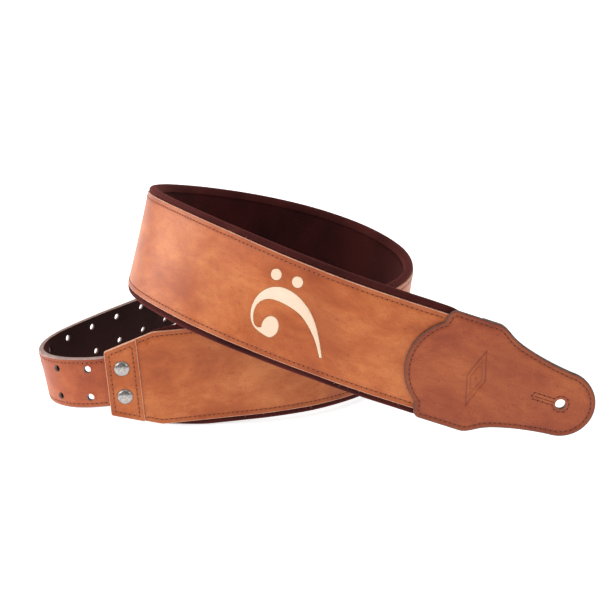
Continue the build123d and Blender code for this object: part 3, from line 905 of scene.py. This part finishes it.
def make_tab():
    """The redder tab over the end of the face leather, and the lining behind its free part."""
    steps = [
        (0.5, GAP, 2), (0.15, GAP, 1), (0.0, GAP + 0.2, 1), (0.0, 1.3, 1), (0.1, 1.75, 1), (0.4, 2.05, 1),
        (0.8, 2.2, 1), (1.15, TAB_TOP, 0), (1.5, TAB_TOP, 0),
    ]
    steps = with_seam(steps, TAB_TOP)
    button = keyhole((TAB_HOLE, 0), BUTTON_R, SLIT_HALF, SLIT_LENGTH)
    hole_steps = [
        (0.0, GAP, 1), (0.0, TAB_TOP - 0.3, 1), (0.08, TAB_TOP - 0.08, 1),
        (0.25, TAB_TOP, 0), (0.5, TAB_TOP, 0),
    ]
    low = [c - h - 1 for c, h in zip(ORNAMENT_CENTRE, ORNAMENT_HALF)]
    high = [c + h + 1 for c, h in zip(ORNAMENT_CENTRE, ORNAMENT_HALF)]
    tab = leather("end_tab_face", SHOULDER, tab_outline, steps, [TAB, DARK_EDGE, FLESH], [button], hole_steps,
                  cell=2.5, fine=[(low, high, 0.4)], press=ornament_press)
    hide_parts("end_tab_leather")

    def free_part(inset):
        """The tab's outline with the lobe cut off straight."""
        loop = tab_outline(inset)
        limit = TAB_HOLE + TAB_LINING_START + inset
        loop[:, 0] = np.maximum(loop[:, 0], limit)
        return loop

    whole = free_part(0.0)
    keep = np.linalg.norm(whole - np.roll(whole, 1, axis=0), axis=1) > 0.02

    def outline(inset):
        """The free part without the points that the straight cut brings together."""
        return free_part(inset)[keep]

    steps = round_edge(-TAB_LINING, 0.0, 0.5, 0, 0, 0)
    hole_steps = [
        (0.5, -TAB_LINING, 0), (0.1, -TAB_LINING + 0.1, 0), (0.0, -TAB_LINING + 0.4, 0), (0.0, 0.0, 0),
    ]
    back = leather("end_tab_back", SHOULDER, outline, steps, [DARK_EDGE], [button], hole_steps, cell=3.0)
    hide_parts("end_tab_lining")
    return {tab: "tab_leather", back: "tab_edge"}


# ---- posts and screws ----
AXIS_R = 0.02                    # a turned piece is closed by a small flat round its axis
DOME_STEPS = 12


def make_posts():
    """Two domed nickel posts, with shade painted on the step and rim under each head, and a bored barrel
    behind.
    """
    pieces = {}
    top = PATCH_TOP + GAP
    for name, side in (("upper", 1), ("lower", -1)):
        profile = [
            (AXIS_R, BORE_END, 0), (SCREW_BORE_R, BORE_END, 0), (SCREW_BORE_R, POST_BOTTOM + 0.2, 0),
            (1.95, POST_BOTTOM, 0), (2.3, POST_BOTTOM, 0), (POST_BARREL_R, POST_BOTTOM + 0.2, 0),
            # the entries with material 1 paint shade under and round the head's rim
            (POST_BARREL_R, top - 0.1, 0), (4.9, top - 0.1, 1), (5.45, top - 0.1, 1),
            (POST_HEAD_R, top + 0.1, 1), (5.35, top + 0.22, 1),
        ]
        for k in range(DOME_STEPS):
            a = radians(90 * k / DOME_STEPS)
            profile.append((5.3 * cos(a) ** 0.9, top + 0.22 + POST_DOME * sin(a) ** 1.15, 0))
        profile.append((AXIS_R, top + 0.22 + POST_DOME, 0))
        post = lathe("binding_post_" + name + "_turned", SHOULDER, (0, side * ROW_HALF), profile,
                     [NICKEL, HEAD_RIM_SHADE])
        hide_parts("binding_post_" + name)
        pieces[post] = "nickel"
    return pieces


# ---- seams ----
# a stitch's rings: (share of its length, lift, radius), and a needle hole's: (radius, lift)
STITCH_BEAD = [
    (0.10, -0.10, 0.16), (0.17, 0.04, 0.27), (0.30, 0.15, 0.32), (0.5, 0.18, 0.33), (0.70, 0.15, 0.32),
    (0.83, 0.04, 0.27), (0.90, -0.10, 0.16),
]
NEEDLE_HOLE = [(0.58, -0.08), (0.50, 0.10), (0.05, 0.06)]
BEAD_SIDES = 8


def walk(line, closed):
    """The needle holes along a line, evenly a stitch apart."""
    if closed:
        line = np.vstack([line, line[:1]])
    lengths = np.concatenate([[0], np.cumsum(np.linalg.norm(np.diff(line, axis=0), axis=1))])
    count = max(2, round(lengths[-1] / STITCH_PITCH))
    at = np.linspace(0, lengths[-1], count + 1)
    return np.column_stack([np.interp(at, lengths, line[:, 0]), np.interp(at, lengths, line[:, 1])])


def sew(name, node, route, line, closed, level, thread, groove=0.22):
    """A seam: a bead of thread from hole to hole, and a small disc of painted shade for the needle hole at
    each end of it.
    """
    places, faces, kinds, uv = [], [], [], []
    count = 0
    sides = BEAD_SIDES
    angles = np.linspace(0, 2 * pi, sides, endpoint=False)
    bottom = level - groove
    spots = walk(line, closed)
    for first, second in zip(spots[:-1], spots[1:]):
        step = second - first
        length = np.linalg.norm(step)
        aside = np.array([-step[1] / length, step[0] / length])
        for share, lift, radius in STITCH_BEAD:
            offset = np.cos(angles)[:, None] * aside * radius
            height = bottom + (lift + np.sin(angles) * radius * 0.8)
            places.append(np.column_stack([first + step * share + offset, height]))
            uv.append(np.column_stack([np.full(sides, share * length), angles]) * MM)
        faces += tube(count, sides, len(STITCH_BEAD), True)
        count += len(STITCH_BEAD) * sides
    kinds += [0] * len(faces)
    for spot in spots[:-1] if closed else spots:
        for radius, lift in NEEDLE_HOLE:
            rim = spot + radius * np.column_stack([np.cos(angles), np.sin(angles)])
            places.append(np.column_stack([rim, np.full(sides, bottom + lift)]))
            uv.append(rim * MM)
        faces += tube(count, sides, len(NEEDLE_HOLE))
        count += len(NEEDLE_HOLE) * sides
    # the needle holes take the painted shade
    kinds += [1] * (len(faces) - len(kinds))
    if route.direction < 0:
        faces = [face[::-1] for face in faces]
    points = route.put(np.vstack(places))
    piece = make_object(name, points, faces, kinds, np.vstack(uv), [thread, HOLE_SHADE])
    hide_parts(node)
    return piece


def tail_seam():
    """The tail's seam, from beside the yoke round the tip and back."""
    line = tail_outline()(SEAM_INSET)
    line = line[line[:, 0] > -YOKE_START + 1.0]
    first = np.argmin(np.hypot(line[:, 0] + YOKE_START - 2, line[:, 1] + TAIL_HALF - SEAM_INSET))
    return np.roll(line, -first, axis=0)


def make_seams():
    """Every seam, each in place of its plain thread."""
    xs = np.linspace(PATCH_END + 2.0, SEAM_END, 500)
    pieces = []
    for name, side in (("upper", 1), ("lower", -1)):
        line = np.column_stack([xs, side * (face_half(xs) - SEAM_INSET)])
        pieces.append(sew("stitches_" + name, "shoulder_thread_" + name, SHOULDER, line, False, 0.0, THREAD))
    button = keyhole((TAB_HOLE, 0), 5.6, 2.3, SLIT_LENGTH + 2.0)(0.0)
    pieces += [
        sew("stitches_yoke", "yoke_thread", SHOULDER, patch_outline()(SEAM_INSET), True, PATCH_TOP, THREAD),
        sew("stitches_tab", "tab_thread", SHOULDER, tab_outline(SEAM_INSET), True, TAB_TOP, TAB_THREAD),
        sew("stitches_button_hole", "button_hole_thread", SHOULDER, button, True, TAB_TOP, TAB_THREAD, 0.0),
        sew("stitches_tail", "tail_thread", TAIL, tail_seam(), False, 0.0, THREAD, 0.18),
    ]
    return {piece: "thread" for piece in pieces}


FIBRES = 150
FIBRE_R = 0.09


def make_fibres():
    """A few loose pale fibres along the face leather's cut edges."""
    draw = np.random.default_rng(7)
    places, faces, uv = [], [], []
    sides, rings = 4, 4
    angles = np.linspace(0, 2 * pi, sides, endpoint=False)
    for number in range(FIBRES):
        side = -1 if number % 3 else 1
        s = draw.uniform(60, 955)
        length = draw.uniform(0.5, 1.9)
        lean, curl = draw.uniform(-1.0, 1.0), draw.uniform(-0.8, 0.8)
        base = np.array([s, side * (FACE_HALF - 0.15), draw.uniform(-1.4, -0.3)])
        first = len(places) * sides
        for k in range(rings):
            t = k / (rings - 1)
            reach = np.array([lean * t + curl * t * t, side * t * 0.9, 0.9 * t]) * length
            radius = FIBRE_R * (1 - 0.7 * t)
            ring = np.column_stack([np.cos(angles), np.zeros(sides), np.sin(angles)]) * radius
            places.append(base + reach + ring)
            uv.append(np.column_stack([angles * 0.1, np.full(sides, t)]) * MM)
        skin = tube(first, sides, rings, True, True)
        faces += skin if side > 0 else [face[::-1] for face in skin]
    points = SHOULDER.put(np.vstack(places))
    piece = make_object("loose_fibres", points, faces, np.zeros(len(faces)), np.vstack(uv), [PALE_EDGE])
    return {piece: "thread"}


# ---- floor, light and camera ----
WORLD_LIGHT = 0.38               # the studio's own light; the camera sees its walls white
FLOOR_HALF = 6.0
CARD_HALF = (0.085, 0.06)
CARD_PLACE, CARD_TARGET = (0.085, -0.80, 0.21), (-0.12, -0.09, 0.03)


def flat_panel(name, wide, high):
    """A rectangle in the plane z = 0, by its two half sizes."""
    mesh = bpy.data.meshes.new(name)
    corners = [(-wide, -high, 0), (wide, -high, 0), (wide, high, 0), (-wide, high, 0)]
    mesh.from_pydata(corners, [], [(0, 1, 2, 3)])
    return add_object(name, mesh)


def facing(place, target):
    """The rotation that turns an object's -Z from a place to a target."""
    return (Vector(target) - Vector(place)).to_track_quat("-Z", "Y").to_euler()


def make_floor():
    """A pale floor that glows a little, so that it stays white in the shade."""
    floor = flat_panel("floor", FLOOR_HALF, FLOOR_HALF)
    floor.data.materials.append(Nodes("pale_floor").finish(
        Base_Color=(0.80, 0.80, 0.80, 1), Emission_Color=(1, 1, 1, 1), Emission_Strength=0.70,
        Roughness=0.9, Specular_IOR_Level=0.1,
    ))


def make_card():
    """A black card that shows only in reflections."""
    card = flat_panel("black_card", *CARD_HALF)
    card.location = CARD_PLACE
    card.rotation_euler = facing(CARD_PLACE, CARD_TARGET)
    card.visible_camera = False
    card.visible_shadow = False
    card.visible_diffuse = False
    card.data.materials.append(Nodes("black_card").finish(Base_Color=(0.01, 0.01, 0.01, 1)))


def make_lights():
    """Soft light from above and both sides."""
    def area(name, place, target, width, height, power):
        light = bpy.data.lights.new(name, "AREA")
        light.shape = "RECTANGLE"
        light.size, light.size_y = width, height
        light.energy = power
        lamp = add_object(name, light)
        lamp.location = place
        lamp.rotation_euler = facing(place, target)

    area("key_left", (-0.85, -0.80, 0.75), (0, 0, 0.06), 0.8, 0.8, 4.6)
    area("side_left", (-1.05, 0.10, 0.42), (-0.1, 0, 0.08), 0.9, 0.7, 6.5)
    area("fill_right", (1.0, -0.9, 0.7), (0.05, 0, 0.05), 0.9, 0.7, 2.6)
    area("overhead", (0.0, 0.15, 1.5), (0, 0, 0), 1.6, 1.4, 9.5)
    world = bpy.data.worlds.new("studio")
    world.use_nodes = True
    backdrop = world.node_tree.nodes["Background"]
    backdrop.inputs[0].default_value = (1, 1, 1, 1)
    seen = world.node_tree.nodes.new("ShaderNodeLightPath").outputs["Is Camera Ray"]
    strength = world.node_tree.nodes.new("ShaderNodeMapRange")
    strength.inputs["To Min"].default_value = WORLD_LIGHT
    world.node_tree.links.new(seen, strength.inputs["Value"])
    world.node_tree.links.new(strength.outputs[0], backdrop.inputs[1])
    bpy.context.scene.world = world
    bpy.context.scene.view_settings.view_transform = "Standard"


def make_camera():
    """The camera that the picture was taken with: its place, its tilt and its lens."""
    camera = add_object("camera", bpy.data.cameras.new("camera"))
    camera.location = (0.00422, -0.79688, 0.36615)
    camera.rotation_euler = (radians(90 - 21.44), 0, 0)
    camera.data.lens = 63.61
    camera.data.sensor_width = 36.0
    camera.data.clip_start = 0.02
    bpy.context.scene.camera = camera


def main():
    """Every piece rides on the strap, and only the two screws keep their CAD meshes."""
    pieces = {}
    for make in (make_face, make_suede, make_patch, make_tail, make_tab, make_posts, make_seams, make_fibres):
        pieces.update(make())
    for piece, slot in pieces.items():
        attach(piece, "strap")
    for name in ("binding_screw_upper", "binding_screw_lower"):
        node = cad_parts[name]
        node.data.materials.clear()
        node.data.materials.append(NICKEL)
    make_floor()
    make_card()
    make_lights()
    make_camera()


main()
